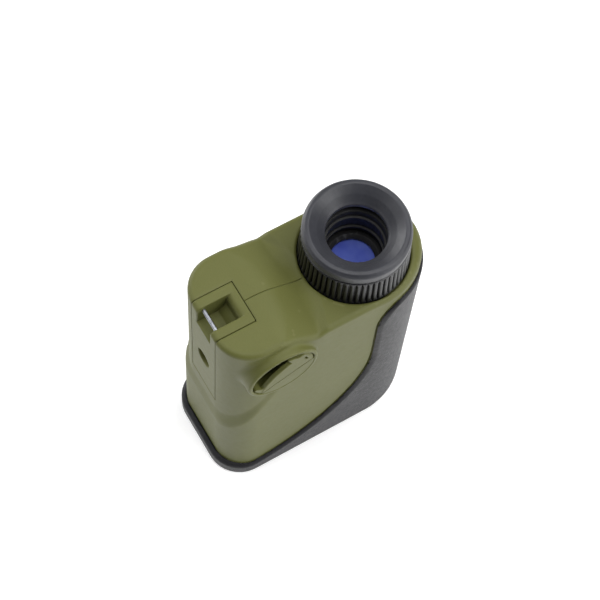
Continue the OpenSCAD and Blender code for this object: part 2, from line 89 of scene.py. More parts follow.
INSERT_W = 7.05        # half width of the strap insert
INSERT_Z = 47.5        # foot of its strip
INSERT_HEAD_Z = 84.0
INSERT_HEAD_Y = -21.3
INSERT_T = 3.0
INSERT_FOOT_Y = -34.7  # outer face of its strip
NOTCH_W, NOTCH_Y, NOTCH_Z, SCOOP_R = 3.9, -24.8, 86.5, 10.6
NOTCH_LIP_R = 2.4      # rounded inner edge of the notch
PIN_Y, PIN_Z = -32.3, 92.2
TRIPOD_Z = 66.8
TRIPOD_HOLE_R, BUSH_R, BUSH_FOOT_Y = 3.25, 4.6, -33.2

GRIP_T = 1.3           # rubber armour's stand over the casing
SWEEP_R = 45.6         # large sweep of the armour's edge
SWEEP_Y, SWEEP_Z = -30.9, 52.0
GRIP_TOP_Z = 84.0
GRIP_CORNER_Y, GRIP_CORNER_Z = 8.0, 14.0   # reach of its rounded upper corner
GRIP_BEVEL = 1.25      # bevel along its edge
CHANNEL = (-0.4, 0.35)                     # channel in the casing along that edge
CHANNEL_DEEP = 0.9
NICK_X, NICK_Y, NICK_Z = 11.0, 34.9, 6.5   # small nick near the front

FIRE_Z, FIRE_W, FIRE_L = 22.0, 5.0, 7.5    # fire button: place, half width, half length
MODE_Z, MODE_R = 44.0, 4.2
KEY_FOOT_Y, KEY_TOP_Y, KEY_FLANGE = 32.0, 38.2, 1.2
RECEIVER_Y, LASER_Y = -17.0, -1.4
OBJECTIVE_R, RECEIVER_R, LASER_R = 11.0, 9.6, 2.8
POST_R, SCREW_HEAD_R, SCREW_R = 2.3, 2.0, 1.05
SCREW_SPOTS = ((31.3, 9.5, 10.5), (31.3, 72.0, 10.5), (-30.2, 11.5, 15.6), (-30.2, 41.0, 15.2))


# ---- Distance fields: negative inside, in millimetres ------------------------


def ramp(value, low, high):
    """0 below low, 1 above high, smooth between."""
    t = np.clip((value - low) / (high - low), 0.0, 1.0)
    return t * t * (3.0 - 2.0 * t)


def join(a, b, r=0.0):
    """Union of two fields, with a fillet of radius r."""
    if np.all(r == 0.0):
        return np.minimum(a, b)
    return np.maximum(r, np.minimum(a, b)) - np.hypot(np.maximum(r - a, 0), np.maximum(r - b, 0))


def soft_join(a, b, k):
    """Union with a gentle blend, for faces that meet at a shallow angle."""
    return np.minimum(a, b) - np.maximum(k - np.abs(a - b), 0) ** 2 / (4 * k)


def both(a, b, r=0.0):
    """What two fields share, with a rounded edge of radius r."""
    if np.all(r == 0.0):
        return np.maximum(a, b)
    return np.minimum(-r, np.maximum(a, b)) + np.hypot(np.maximum(r + a, 0), np.maximum(r + b, 0))


def cut(a, b, r=0.0):
    """Field a with b taken away."""
    return both(a, -b, r)


def slab(v, low, high):
    return np.maximum(low - v, v - high)


def outline(x, y, half_w=HALF_W, under=UNDER_Y, corner=CORNER_R, crown_h=CROWN_H):
    """Casing outline across the sighting axis."""
    top = np.hypot(x, (y - CROWN_Y) * half_w / crown_h) - half_w
    side = np.abs(x) - (half_w - corner)
    foot = under + corner - y
    low = np.hypot(np.maximum(side, 0), np.maximum(foot, 0)) - corner
    low = low + np.minimum(np.maximum(side, foot), 0)
    return np.where(y > CROWN_Y, top, low)


def rear_face(x, y, z):
    """Everything in front of the stepped rear face, whose fall starts sooner at the sides."""
    sooner = SIDE_LEAD * (x / HALF_W) ** 2
    falling = (y + sooner - SLOPE_Y) * math.sin(SLOPE) + (z - REAR_Z) * math.cos(SLOPE)
    middle = 1.0 - ramp(np.abs(x), 9, 17)
    land = np.minimum(PLATFORM_Z, VALLEY_Z + 0.35 * (y + sooner - VALLEY_Y))
    stepped = soft_join(falling, z - land, 0.6 + 1.6 * middle)
    return -soft_join(REAR_Z - z, -stepped, 0.6 + 1.2 * middle)


def body_block(x, y, z):
    """Solid casing without its boss, before it is hollowed."""
    over_step = (z - RECESS_Z - RECESS_RISE * (y - UNDER_Y)) / math.hypot(1, RECESS_RISE)
    slim = ramp(over_step, -1.6, 1.6) * ramp(-y, 7, 15)
    edge_r = 1.8 + 1.7 * ramp(y, 10, 22)
    return both(outline(x, y, corner=CORNER_R + 2 * slim) + RECESS * slim, rear_face(x, y, z), edge_r)


def casing_block(x, y, z):
    """Solid casing with the battery boss."""
    round_boss = np.hypot(y - BATTERY_Y, z - BATTERY_Z) - BOSS_R
    boss = both(round_boss, x - BOSS_X, 0.9)
    boss = np.maximum(boss, 8.0 - x)
    return soft_join(body_block(x, y, z), boss, 1.2)


def insert_space(x, y, z, grow):
    """Room that the strap insert takes."""
    strip = np.maximum(y - (INSERT_FOOT_Y + INSERT_T), INSERT_Z - z)
    head = np.maximum(y - INSERT_HEAD_Y, INSERT_HEAD_Z - z)
    return np.maximum(np.minimum(strip, head), np.abs(x) - INSERT_W) - grow


def fire_shape(x, z):
    reach = np.maximum(np.abs(z - FIRE_Z) - (FIRE_L - FIRE_W), 0)
    return np.hypot(x, reach) - FIRE_W


def mode_shape(x, z):
    return np.hypot(x, z - MODE_Z) - MODE_R


def button_holes(x, y, z, grow):
    """Openings for both buttons, open outwards from below the buttons' feet."""
    return np.maximum(np.minimum(fire_shape(x, z), mode_shape(x, z)) - grow, KEY_FOOT_Y - 2 - y)


def armour_region(y, z):
    """Side view of the rubber armour: negative where the rubber lies."""
    off_sweep = np.hypot(np.maximum(y - SWEEP_Y, 0), np.maximum(SWEEP_Z - z, 0)) - SWEEP_R
    a = np.maximum(SWEEP_Y + SWEEP_R + GRIP_CORNER_Y - y, 1e-6) / GRIP_CORNER_Y
    b = np.maximum(z - GRIP_TOP_Z + GRIP_CORNER_Z, 1e-6) / GRIP_CORNER_Z
    reach = np.hypot(a, b)
    corner = (reach - 1) * reach / np.hypot(a / GRIP_CORNER_Y, b / GRIP_CORNER_Z)
    return np.where(z > GRIP_TOP_Z - GRIP_CORNER_Z, corner, -off_sweep)


def cap_axes(y, z):
    """Distance from the cap's axis, and places along and across its grip."""
    tilt = math.radians(CAP_TILT)
    from_axis = np.hypot(y - BATTERY_Y, z - BATTERY_Z)
    along = (y - BATTERY_Y) * math.cos(tilt) + (z - BATTERY_Z) * math.sin(tilt)
    off = -(y - BATTERY_Y) * math.sin(tilt) + (z - BATTERY_Z) * math.cos(tilt)
    return from_axis, along, off


def casing_field(x, y, z):
    """The hollow casing with both halves still joined."""
    body = body_block(x, y, z)
    shell = cut(casing_block(x, y, z), np.maximum(body + WALL, SHELL_Z - 2 - z))
    for spot_y, spot_z, _ in SCREW_SPOTS:
        post = np.maximum(np.hypot(y - spot_y, z - spot_z) - POST_R, body + 1)
        shell = np.minimum(shell, post)
    shell = np.maximum(shell, SHELL_Z - z)
    shell = cut(shell, np.maximum(np.hypot(x, y - SIGHT_Y) - EYE_BORE_R, 80 - z), 0.3)
    shell = cut(shell, np.maximum(np.hypot(x, y - SIGHT_Y) - RING_SEAT_R, RING_SEAT_Z - z), 0.8)
    gap = 0.06 + 0.1 * ramp(y, -34.5, -33.5)
    shell = cut(shell, insert_space(x, y, z, gap), 0.25)
    shell = cut(shell, button_holes(x, y, z, 0.8))
    from_axis, _, off = cap_axes(y, z)
    tunnel = np.maximum(from_axis - TUNNEL_R, 1 - x)
    upper = ramp(off, -4.5, -2.0)
    seat = np.maximum(from_axis - CAP_R - 0.06 - 0.24 * upper, SLEEVE_X - x)
    shell = cut(cut(shell, tunnel), seat, 0.08 + 0.27 * upper)
    channel = np.maximum(slab(armour_region(y, z), *CHANNEL), -CHANNEL_DEEP - body)
    shell = cut(shell, channel, 0.08)
    for spot_y, spot_z, reach in SCREW_SPOTS:
        from_screw = np.hypot(y - spot_y, z - spot_z)
        shell = cut(shell, np.maximum(from_screw - SCREW_HEAD_R, x + reach - 2.4), 0.25)
        shell = cut(shell, np.maximum(from_screw - SCREW_R, x - 10))
    return shell


def strap_insert_field(x, y, z):
    """Strap insert: a strip with the tripod hole, and a head with the notch for the cord."""
    d = both(body_block(x, y, z), insert_space(x, y, z, 0.0), 0.3)
    from_cell = np.hypot(y - BATTERY_Y, z - BATTERY_Z)
    d = cut(d, from_cell - TUNNEL_R - 0.2)
    scoop = SCOOP_R - from_cell
    over_lip = np.maximum(z - REAR_Z + NOTCH_LIP_R, 0)
    lip = NOTCH_LIP_R - np.sqrt(np.maximum(NOTCH_LIP_R**2 - over_lip**2, 0))
    notch = np.maximum(np.maximum(np.abs(x) - NOTCH_W, y - NOTCH_Y - lip), np.maximum(NOTCH_Z - z, scoop))
    d = cut(d, notch, 0.35)
    hole = np.hypot(x, z - TRIPOD_Z)
    d = cut(d, np.maximum(hole - TRIPOD_HOLE_R, y - BUSH_FOOT_Y - 0.5), 0.25)
    return cut(d, np.maximum(hole - BUSH_R, BUSH_FOOT_Y - y))


def armour_field(x, y, z):
    """Rubber armour: the front rim and the top grip, open for the buttons."""
    at_rim = 1.0 - ramp(z, 8, 20)
    grow = GRIP_T - 0.15
    outer = outline(x, y, HALF_W + grow, UNDER_Y - grow - 0.7 * at_rim, CORNER_R + grow, CROWN_H + 0.7)
    region = armour_region(y, z)
    d = both(outer, region, 0.3)
    d = both(d, (outer + region + GRIP_BEVEL) * math.sqrt(0.5), 0.3)
    d = both(d, -z, 0.9)
    d = cut(d, np.maximum(outline(x, y) - 0.05, 2.4 - z))
    d = cut(d, np.maximum(outline(x, y) + 1.3, z - 3.0), 0.4)
    nick = np.hypot(np.hypot(x - NICK_X, y - NICK_Y) / 0.8, (z - NICK_Z) / 2.6) - 1.0
    d = cut(d, nick * 0.8, 0.15)
    return cut(d, button_holes(x, y, z, 0.35), 0.25)


def front_plate_field(x, y, z):
    """Plate behind the front rim, with three flared openings."""
    d = np.maximum(outline(x, y) - 0.1, slab(z, 2.5, 3.9))
    for axis_y, r in ((SIGHT_Y, OBJECTIVE_R - 0.6), (RECEIVER_Y, RECEIVER_R - 0.6), (LASER_Y, LASER_R - 0.3)):
        flare_out = np.hypot(x, y - axis_y) - r - np.maximum(3.4 - z, 0)
        d = cut(d, flare_out, 0.2)
    return d


def cap_field(x, y, z):
    """Battery cap: a disc with a raised grip, a finger recess above it, and a shank."""
    from_axis, along, off = cap_axes(y, z)
    upper = ramp(off, -3.6, -3.0)
    disc = both(from_axis - CAP_R, slab(x, 16.8, BOSS_X - 0.05 - 0.2 * upper), 0.08 + 0.2 * upper)
    lean = 0.55 * (BOSS_X - x) - UNDERCUT * ramp(UNDERCUT_X - x, -0.1, 0.1)
    arched = np.hypot(along - ARCH_ALONG, off - ARCH_OFF) - ARCH_R - lean
    arched = np.minimum(arched, np.maximum(from_axis - PAD_R, PAD_ALONG - along))
    grip = both(np.maximum(arched, GRIP_EDGE - off), from_axis - CAP_R + 0.35, 0.5)
    foot = -0.8 + 2.4 * ramp(-along, 8.2, 9.4) + 1.6 * ramp(along, 4, 8)
    recess = np.maximum(np.maximum(CAP_FLOOR_X - x, -arched), foot - off)
    disc = cut(disc, recess, 0.12)
    grip = both(grip, slab(x, 18.0, BOSS_X), 0.2)
    line = np.maximum(slab(off, GRIP_EDGE - 0.3, GRIP_EDGE), 19.6 - x)
    pit = np.maximum(np.maximum(slab(along, 7.9, 8.6), slab(off, -0.4, 1.6)), 19.0 - x)
    dot = np.maximum(np.hypot(along + 4.3, off + 3.35) - 0.3, 19.6 - x)
    shank = np.maximum(cut(from_axis - 7.9, from_axis - 6.6), slab(x, 13.4, 17.4))
    cap = cut(join(disc, grip, 0.1), np.minimum(np.minimum(line, pit), dot), 0.06)
    return np.minimum(cap, shank)


def key_field(y, shape, top):
    """A button with its flange, from its outline and its finished top."""
    flange = np.maximum(shape - KEY_FLANGE, slab(y, KEY_FOOT_Y, KEY_FOOT_Y + 0.5))
    return np.minimum(np.maximum(top, KEY_FOOT_Y - y), flange)


def fire_field(x, y, z):
    shape = fire_shape(x, z)
    dish = 38.05 + 0.25 * (z - FIRE_Z) ** 2 / 60.0 - 0.02 * x * x
    return key_field(y, shape, both(shape, y - np.minimum(dish, KEY_TOP_Y), 0.8))


def mode_field(x, y, z):
    shape = mode_shape(x, z)
    crown = KEY_TOP_Y - 0.1 - 0.012 * (x * x + (z - MODE_Z) ** 2)
    return key_field(y, shape, both(shape, y - crown, 0.7))


# ---- Mesh builders -------------------------------------------------------------


def new_object(name, points, faces, sharp=30.0):
    """Mesh object from points in millimetres, smooth but for edges over the sharp angle."""
    mesh = bpy.data.meshes.new(name)
    mesh.from_pydata((np.asarray(points) * MM).tolist(), [], np.asarray(faces).tolist())
    mesh.validate()
    mesh.shade_smooth()
    mesh.set_sharp_from_angle(angle=math.radians(sharp))
    obj = bpy.data.objects.new(name, mesh)
    bpy.context.collection.objects.link(obj)
    return obj


def settle(field, points, rounds=3):
    """Moves points onto the field's surface along its slope."""
    step = 0.02
    for _ in range(rounds):
        here = field(*points.T)
        rises = [field(*(points + step * axis).T) - field(*(points - step * axis).T) for axis in np.eye(3)]
        slope = np.stack(rises, axis=1) / (2 * step)
        size = np.maximum((slope**2).sum(axis=1), 0.25)
        move = slope * (here / size)[:, None]
        reach = np.maximum(np.linalg.norm(move, axis=1) / 0.25, 1.0)
        points = points - move / reach[:, None]
    return points


def relaxed(points, quads, share=0.4):
    """Moves each point part of the way to the middle of its neighbours, to even out the faces."""
    here, there = quads.ravel(), np.roll(quads, -1, axis=1).ravel()
    count = np.maximum(np.bincount(here, minlength=len(points)), 1)
    total = [np.bincount(here, points[there, axis], len(points)) for axis in range(3)]
    return points + share * (np.stack(total, axis=1) / count[:, None] - points)


def moulded(name, field, low, high, voxel=0.5, sharp=50.0):
    """Object whose surface is where the field is zero, within the box from low to high."""
    axes = [np.arange(a - voxel, b + voxel * 1.5, voxel) for a, b in zip(low, high)]
    grid = np.meshgrid(*axes, indexing="ij", sparse=True)
    values = np.broadcast_to(field(*grid), [len(a) for a in axes])
    level = openvdb.FloatGrid(voxel * 3.0)
    level.copyFromArray(np.ascontiguousarray(np.clip(values, -3 * voxel, 3 * voxel), dtype=np.float32))
    points, quads = level.convertToQuads(0.0)
    points = points.astype(np.float64) * voxel + np.array([a[0] for a in axes])
    points = settle(field, points)
    points = settle(field, relaxed(points, quads), 2)
    return new_object(name, points, quads[:, ::-1], sharp)


def halved(whole, name, side):
    """One half of the whole casing, with a fine groove along its seam on the rear face."""
    bm = bmesh.new()
    bm.from_mesh(whole.data)
    for place in (side * SEAM_HALF, side * 0.01):
        last = place == side * 0.01
        cut_geom = bmesh.ops.bisect_plane(
            bm, geom=bm.verts[:] + bm.edges[:] + bm.faces[:], dist=1e-7, plane_co=(place * MM, 0, 0),
            plane_no=(side, 0, 0), clear_inner=last,
        )["geom_cut"]
    rim = [v for v in cut_geom if isinstance(v, bmesh.types.BMVert)]
    spots = np.array([v.co for v in rim]) / MM
    on_surface = np.abs(casing_block(*spots.T)) < 0.1
    on_rear = on_surface & (spots[:, 1] > INSERT_HEAD_Y - 0.7) & (spots[:, 2] > 80)
    for vert, sink in zip(rim, np.where(on_rear, SEAM_DEPTH, 0.0)):
        vert.co.z -= sink * MM
    edges = [e for e in cut_geom if isinstance(e, bmesh.types.BMEdge)]
    bmesh.ops.triangle_fill(bm, use_beauty=True, edges=edges, normal=(-side, 0, 0))
    mesh = bpy.data.meshes.new(name)
    bm.to_mesh(mesh)
    bm.free()
    mesh.shade_smooth()
    mesh.set_sharp_from_angle(angle=math.radians(50))
    obj = bpy.data.objects.new(name, mesh)
    bpy.context.collection.objects.link(obj)
    return obj


def rounded(corners, steps=4):
    """Profile through (r, z, radius) corners, each rounded with its own radius."""
    spots = np.array([c[:2] for c in corners], float)
    out = []
    count = len(corners)
    for i, corner in enumerate(corners):
        here, before, after = spots[i], spots[i - 1], spots[(i + 1) % count]
        radius = corner[2] if len(corner) > 2 else 0.0
        if radius == 0.0:
            out.append(here)
            continue
        a, b = before - here, after - here
        a_len, b_len = np.linalg.norm(a), np.linalg.norm(b)
        a, b = a / a_len, b / b_len
        half = math.acos(np.clip(a @ b, -0.999999, 0.999999)) / 2
        back = min(radius / math.tan(half), 0.49 * a_len, 0.49 * b_len)
        first, last = here + a * back, here + b * back
        for k in range(steps + 1):
            t = k / steps
            out.append(first * (1 - t) ** 2 + here * 2 * t * (1 - t) + last * t**2)
    return np.array(out)


def turned(name, corners, axis="z", centre=(0, 0), segments=128, sharp=32.0, bend=None):
    """Closed ring of revolution: corners run round the section in (radius, place along the axis).
    bend(angle, profile) may return a new (radius, place) profile for each angle."""
    profile = rounded(corners)
    rings = []
    for k in range(segments):
        angle = 2 * math.pi * k / segments
        ring = profile if bend is None else bend(angle, profile)
        c, s = math.cos(angle), math.sin(angle)
        across_a, across_b, along = ring[:, 0] * c, ring[:, 0] * s, ring[:, 1]
        if axis == "z":
            rings.append(np.stack([centre[0] + across_a, centre[1] + across_b, along], axis=1))
        elif axis == "x":
            rings.append(np.stack([along, centre[0] + across_a, centre[1] + across_b], axis=1))
        else:
            rings.append(np.stack([centre[0] + across_b, along, centre[1] + across_a], axis=1))
    points = np.concatenate(rings)
    size = len(profile)
    k = np.arange(segments)[:, None] * size
    k_next = np.roll(np.arange(segments), -1)[:, None] * size
    j = np.arange(size)[None, :]
    j_next = np.roll(np.arange(size), -1)[None, :]
    quads = np.stack([k + j, k_next + j, k_next + j_next, k + j_next], axis=2).reshape(-1, 4)
    obj = new_object(name, points, quads, sharp)
    tidy_axis(obj, sharp)
    return obj


def tidy_axis(obj, sharp):
    """Merges the points that meet on the axis and turns all faces outward."""
    bm = bmesh.new()
    bm.from_mesh(obj.data)
    bmesh.ops.remove_doubles(bm, verts=bm.verts, dist=1e-6)
    bmesh.ops.dissolve_degenerate(bm, edges=bm.edges, dist=1e-7)
    bmesh.ops.recalc_face_normals(bm, faces=bm.faces)
    bm.to_mesh(obj.data)
    bm.free()
    obj.data.shade_smooth()
    obj.data.set_sharp_from_angle(angle=math.radians(sharp))


def stand_for(obj, body, slot, material, *nodes):
    """Puts a finished piece in the model: its body, finish, and the CAD nodes it stands for."""
    obj.data.materials.clear()
    obj.data.materials.append(material)
    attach(obj, body)
    if nodes:
        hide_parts(*nodes)
    return obj


# ---- Materials -------------------------------------------------------------------


def srgb(r, g, b):
    """Linear colour from 0-255 screen values."""
    def one(v):
        v = v / 255
        return v / 12.92 if v <= 0.04045 else ((v + 0.055) / 1.055) ** 2.4
    return (one(r), one(g), one(b), 1.0)


class Shader:
    """A Principled material with helpers for the textures that feed it."""

    def __init__(self, name, **sockets):
        self.material = bpy.data.materials.new(name)
        self.material.use_nodes = True
        self.tree = self.material.node_tree
        self.bsdf = self.tree.nodes["Principled BSDF"]
        for key, value in sockets.items():
            self.bsdf.inputs[key.replace("_", " ")].default_value = value
        coords = self.node("ShaderNodeTexCoord")
        scaled = self.node("ShaderNodeMapping")
        scaled.inputs["Scale"].default_value = (1000, 1000, 1000)
        self.link(coords.outputs["Object"], scaled.inputs["Vector"])
        self.place = scaled.outputs["Vector"]

    def node(self, kind, **settings):
        made = self.tree.nodes.new(kind)
        for key, value in settings.items():
            setattr(made, key, value)
        return made

    def link(self, output, socket):
        self.tree.links.new(output, socket)

    def noise(self, scale, detail=4.0, roughness=0.55, distortion=0.0):
        made = self.node("ShaderNodeTexNoise")
        made.inputs["Scale"].default_value = scale
        made.inputs["Detail"].default_value = detail
        made.inputs["Roughness"].default_value = roughness
        made.inputs["Distortion"].default_value = distortion
        self.link(self.place, made.inputs["Vector"])
        return made.outputs["Fac"]

    def cells(self, scale, feature="F1"):
        made = self.node("ShaderNodeTexVoronoi", feature=feature)
        made.inputs["Scale"].default_value = scale
        self.link(self.place, made.inputs["Vector"])
        return made.outputs["Distance"]

    def spread(self, value, low, high, to_low=0.0, to_high=1.0):
        made = self.node("ShaderNodeMapRange")
        for key, number in (("From Min", low), ("From Max", high), ("To Min", to_low), ("To Max", to_high)):
            made.inputs[key].default_value = number
        self.link(value, made.inputs["Value"])
        return made.outputs["Result"]

    def blend(self, factor, first, second):
        """Mixes two colours: each may be a colour or an output."""
        made = self.node("ShaderNodeMix", data_type="RGBA")
        self.link(factor, made.inputs[0])
        for socket, value in ((made.inputs[6], first), (made.inputs[7], second)):
            if isinstance(value, tuple):
                socket.default_value = value
            else:
                self.link(value, socket)
        return made.outputs[2]

    def wear_and_glint_edges(self, low=0.52, high=0.60):
        """0 on flat faces, 1 on the sharpest outer edges; the lighter colour there is edge wear, and on the
        black barrel also painted glints.
        """
        made = self.node("ShaderNodeNewGeometry")
        return self.spread(made.outputs["Pointiness"], low, high)

    def bump(self, *layers):
        """Adds bump layers of (height output, depth in millimetres)."""
        last = None
        for height, depth in layers:
            made = self.node("ShaderNodeBump")
            made.inputs["Strength"].default_value = 1.0
            made.inputs["Distance"].default_value = depth * MM
            self.link(height, made.inputs["Height"])
            if last is not None:
                self.link(last, made.inputs["Normal"])
            last = made.outputs["Normal"]
        self.link(last, self.bsdf.inputs["Normal"])

    def set(self, socket, output):
        self.link(output, self.bsdf.inputs[socket])


def olive_plastic():
    s = Shader("olive_plastic", IOR=1.33)
    s.bsdf.inputs["Specular IOR Level"].default_value = 0.4
    broad = s.spread(s.noise(0.06, 3), 0.35, 0.65)
    colour = s.blend(broad, srgb(88, 90, 47), srgb(91, 93, 50))
    speck = s.spread(s.noise(3.0, 6), 0.42, 0.70)
    colour = s.blend(s.spread(speck, 0, 1, 0, 0.18), colour, srgb(72, 75, 37))
    colour = s.blend(s.spread(s.wear_and_glint_edges(), 0, 1, 0, 0.3), colour, srgb(112, 111, 72))
    s.set("Base Color", colour)
    s.set("Roughness", s.spread(s.noise(0.5, 5), 0.3, 0.7, 0.46, 0.50))
    s.bump((s.noise(5.0, 3, 0.6), 0.010))
    return s.material


def armour_rubber(name="armour_rubber", light=(30, 30, 33), dark=(23, 23, 26), rough=(0.42, 0.56), grain=0.05,
                  shine=0.22):
    s = Shader(name, Sheen_Weight=0.05, Sheen_Roughness=0.5)
    s.bsdf.inputs["Specular IOR Level"].default_value = shine
    broad = s.spread(s.noise(0.12, 5, 0.6), 0.3, 0.7)
    colour = s.blend(broad, srgb(*dark), srgb(*light))
    dust = s.spread(s.noise(1.6, 6, 0.7), 0.56, 0.78, 0, 0.28)
    colour = s.blend(dust, colour, srgb(58, 58, 62))
    s.set("Base Color", colour)
    s.set("Roughness", s.spread(s.noise(0.8, 5), 0.3, 0.7, *rough))
    s.bump((s.cells(3.2), grain), (s.noise(6.0, 3), 0.02))
    return s.material


def black_plastic(name="black_plastic", tone=(30, 30, 33), rough=(0.34, 0.46), grain=0.018, edge_wear_and_glint=74):
    s = Shader(name, IOR=1.5)
    shade = s.spread(s.noise(0.3, 4), 0.3, 0.7)
    darker = tuple(int(v * 0.8) for v in tone)
    colour = s.blend(shade, srgb(*darker), srgb(*tone))
    # Sharp edges lightened toward edge_wear_and_glint: edge wear, and at the barrel's high value painted
    # highlights along its ridges.
    colour = s.blend(s.spread(s.wear_and_glint_edges(), 0, 1, 0, 0.3), colour, srgb(edge_wear_and_glint, edge_wear_and_glint, edge_wear_and_glint + 4))
    s.set("Base Color", colour)
    s.set("Roughness", s.spread(s.noise(1.0, 4), 0.3, 0.7, *rough))
    s.bump((s.noise(5.0, 3), grain))
    return s.material


def metal(name, tone, rough, streaks=0.02, scale=(0.3, 6.0, 6.0)):
    """Drawn or turned metal with fine streaks along its length."""
    s = Shader(name, Metallic=1.0)
    stretched = s.node("ShaderNodeMapping")
    stretched.inputs["Scale"].default_value = scale
    s.link(s.place, stretched.inputs["Vector"])
    grain = s.node("ShaderNodeTexNoise")
    grain.inputs["Scale"].default_value = 1.5
    grain.inputs["Detail"].default_value = 5
    s.link(stretched.outputs["Vector"], grain.inputs["Vector"])
    stain = s.spread(s.noise(0.8, 4), 0.35, 0.75)
    duller = tuple(v * 0.7 for v in tone)
    s.set("Base Color", s.blend(stain, srgb(*tone), srgb(*duller)))
    s.set("Roughness", s.spread(grain.outputs["Fac"], 0.3, 0.7, *rough))
    s.bump((grain.outputs["Fac"], streaks))
    return s.material


def coated_glass(name, tone, second_tone, metallic=0.75):
    """Glass whose coating mirrors one colour, over a second base colour: dark where it is the inside, light
    blue where it paints the coating's reflection.
    """
    s = Shader(name, Metallic=metallic, IOR=1.6)
    tint = s.spread(s.noise(0.12, 2), 0.35, 0.65)
    s.set("Base Color", s.blend(tint, srgb(*tone), srgb(*second_tone)))
    s.set("Roughness", s.spread(s.noise(1.5, 3), 0.3, 0.7, 0.03, 0.07))
    s.bsdf.inputs["Coat Weight"].default_value = 0.6
    s.bsdf.inputs["Coat Roughness"].default_value = 0.03
    return s.material


def clear_glass():
    s = Shader("clear_glass", IOR=1.52, Transmission_Weight=0.9)
    smear = s.spread(s.noise(0.5, 4), 0.3, 0.7)
    s.set("Base Color", s.blend(smear, (0.86, 0.92, 0.92, 1), (0.95, 0.97, 0.97, 1)))
    s.set("Roughness", s.spread(s.noise(2.0, 3), 0.3, 0.7, 0.01, 0.04))
    return s.material


def circuit_board():
    s = Shader("circuit_board", IOR=1.5)
    lines = s.spread(s.cells(0.35, "DISTANCE_TO_EDGE"), 0.03, 0.06)
    colour = s.blend(lines, srgb(38, 108, 60), srgb(12, 66, 34))
    pads = s.spread(s.cells(0.6), 0.10, 0.12)
    colour = s.blend(pads, srgb(196, 170, 96), colour)
    s.set("Base Color", colour)
    s.set("Roughness", s.spread(s.noise(1.0, 3), 0.3, 0.7, 0.3, 0.42))
    s.bump((lines, 0.03))
    return s.material


def wrapped(name, tone, second, rough=(0.25, 0.35)):
    """Printed film or coloured insulation."""
    s = Shader(name, IOR=1.5)
    s.set("Base Color", s.blend(s.spread(s.noise(0.4, 4), 0.3, 0.7), srgb(*tone), srgb(*second)))
    s.set("Roughness", s.spread(s.noise(1.0, 3), 0.3, 0.7, *rough))
    s.bump((s.noise(2.0, 3), 0.02))
    return s.material


def make_materials():
    """One material for each of the record's slots."""
    return {
        "olive_plastic": olive_plastic(),
        "black_rubber": armour_rubber(),
        "black_plastic": black_plastic(),
        # Edge value 100 paints glints along the barrel's ridges, on top of edge wear.
        "black_anodised": black_plastic("black_anodised", (15, 15, 16), (0.6, 0.7), 0.01, 100),
        "steel": metal("steel", (158, 161, 168), (0.24, 0.38)),
        "brass": metal("brass", (206, 168, 92), (0.22, 0.36)),
        # Light blue base colour under little metal paints the coating's blue reflection into the lens, on top
        # of its own tint.
        "coated_glass": coated_glass("coated_glass", (124, 144, 246), (96, 114, 226), 0.35),
        "clear_glass": clear_glass(),
        "receiver_glass": coated_glass("receiver_glass", (120, 44, 60), (60, 20, 48), 0.6),
        "circuit_board": circuit_board(),
        "flex_film": wrapped("flex_film", (176, 104, 34), (150, 84, 26)),
        "chip_black": black_plastic("chip_black", (36, 36, 38), (0.5, 0.62), 0.02),
        "battery_wrap": wrapped("battery_wrap", (38, 62, 118), (30, 48, 96)),
        "lead_red": wrapped("lead_red", (170, 28, 26), (140, 20, 20)),
        "seal_rubber": armour_rubber("seal_rubber", (34, 34, 36), (22, 22, 24), (0.3, 0.42), 0.01, 0.4),
    }


MATERIALS = make_materials()
EYECUP_RUBBER = armour_rubber("eyecup_rubber", (47, 48, 54), (38, 39, 44), (0.38, 0.48), 0.006, 0.42)
RING_PLASTIC = black_plastic("ring_plastic", (20, 20, 24), (0.34, 0.46), 0.012)


def dress_cad_nodes():
    """Gives every CAD node the material of its slot."""
    for part in frame["record"]["subparts"]:
        node = frame["nodes"][part["node"]]
        node.data.materials.clear()
        node.data.materials.append(MATERIALS[part["material_slot"]])
        node.data.shade_smooth()
        node.data.set_sharp_from_angle(angle=math.radians(30))


# ---- Pieces ----------------------------------------------------------------------


def cased(name, node, slot, field, low, high, voxel=0.5, body="root"):
    """A moulded piece that stands for one CAD node."""
    obj = moulded(name, field, low, high, voxel)
    return stand_for(obj, body, slot, MATERIALS[slot], node)


def make_casing():
    whole = moulded("casing", casing_field, (-19, -37, 3), (22, 39, 96), 0.4)
    for side, name, node in ((-1, "left_casing", "left_shell"), (1, "right_casing", "right_shell")):
        half = halved(whole, name, side)
        stand_for(half, "root", "olive_plastic", MATERIALS["olive_plastic"], node)
    bpy.data.objects.remove(whole)
    cased("strap_block", "strap_insert", "olive_plastic", strap_insert_field,
          (-8, -36, 46), (8, -20, 96), 0.35)
    cased("armour", "rubber_armour", "black_rubber", armour_field, (-21, -38.5, -1), (21, 39, 85))
    cased("nose_plate", "front_plate", "black_plastic", front_plate_field, (-20, -37, 2), (20, 39, 5), 0.4)


def make_buttons():
    cased("fire_key", "fire_button", "black_rubber", fire_field, (-7, 31, 12), (7, 39, 32), 0.3, "fire_key")
    cased("mode_key", "mode_button", "black_rubber", mode_field, (-6, 31, 38), (6, 39, 50), 0.3, "mode_key")


def make_battery_parts():
    cased("cap_lid", "battery_cap", "olive_plastic", cap_field, (13, -30, 69), (21, -8, 91), 0.15, "cap")
    spot = (BATTERY_Y, BATTERY_Z)
    end = -13.4 + 27
    can = turned("cell_can", [(0, -13.4), (7.3, -13.4, 0), (7.8, -12.9, 0.4), (7.8, end - 1.6, 0.5),
                              (7.0, end - 1.0, 0.3), (3.4, end - 1.0, 0.2), (3.2, end, 0.35), (0, end)],
                 "x", spot, 96)
    stand_for(can, "cell", "battery_wrap", MATERIALS["battery_wrap"], "battery")


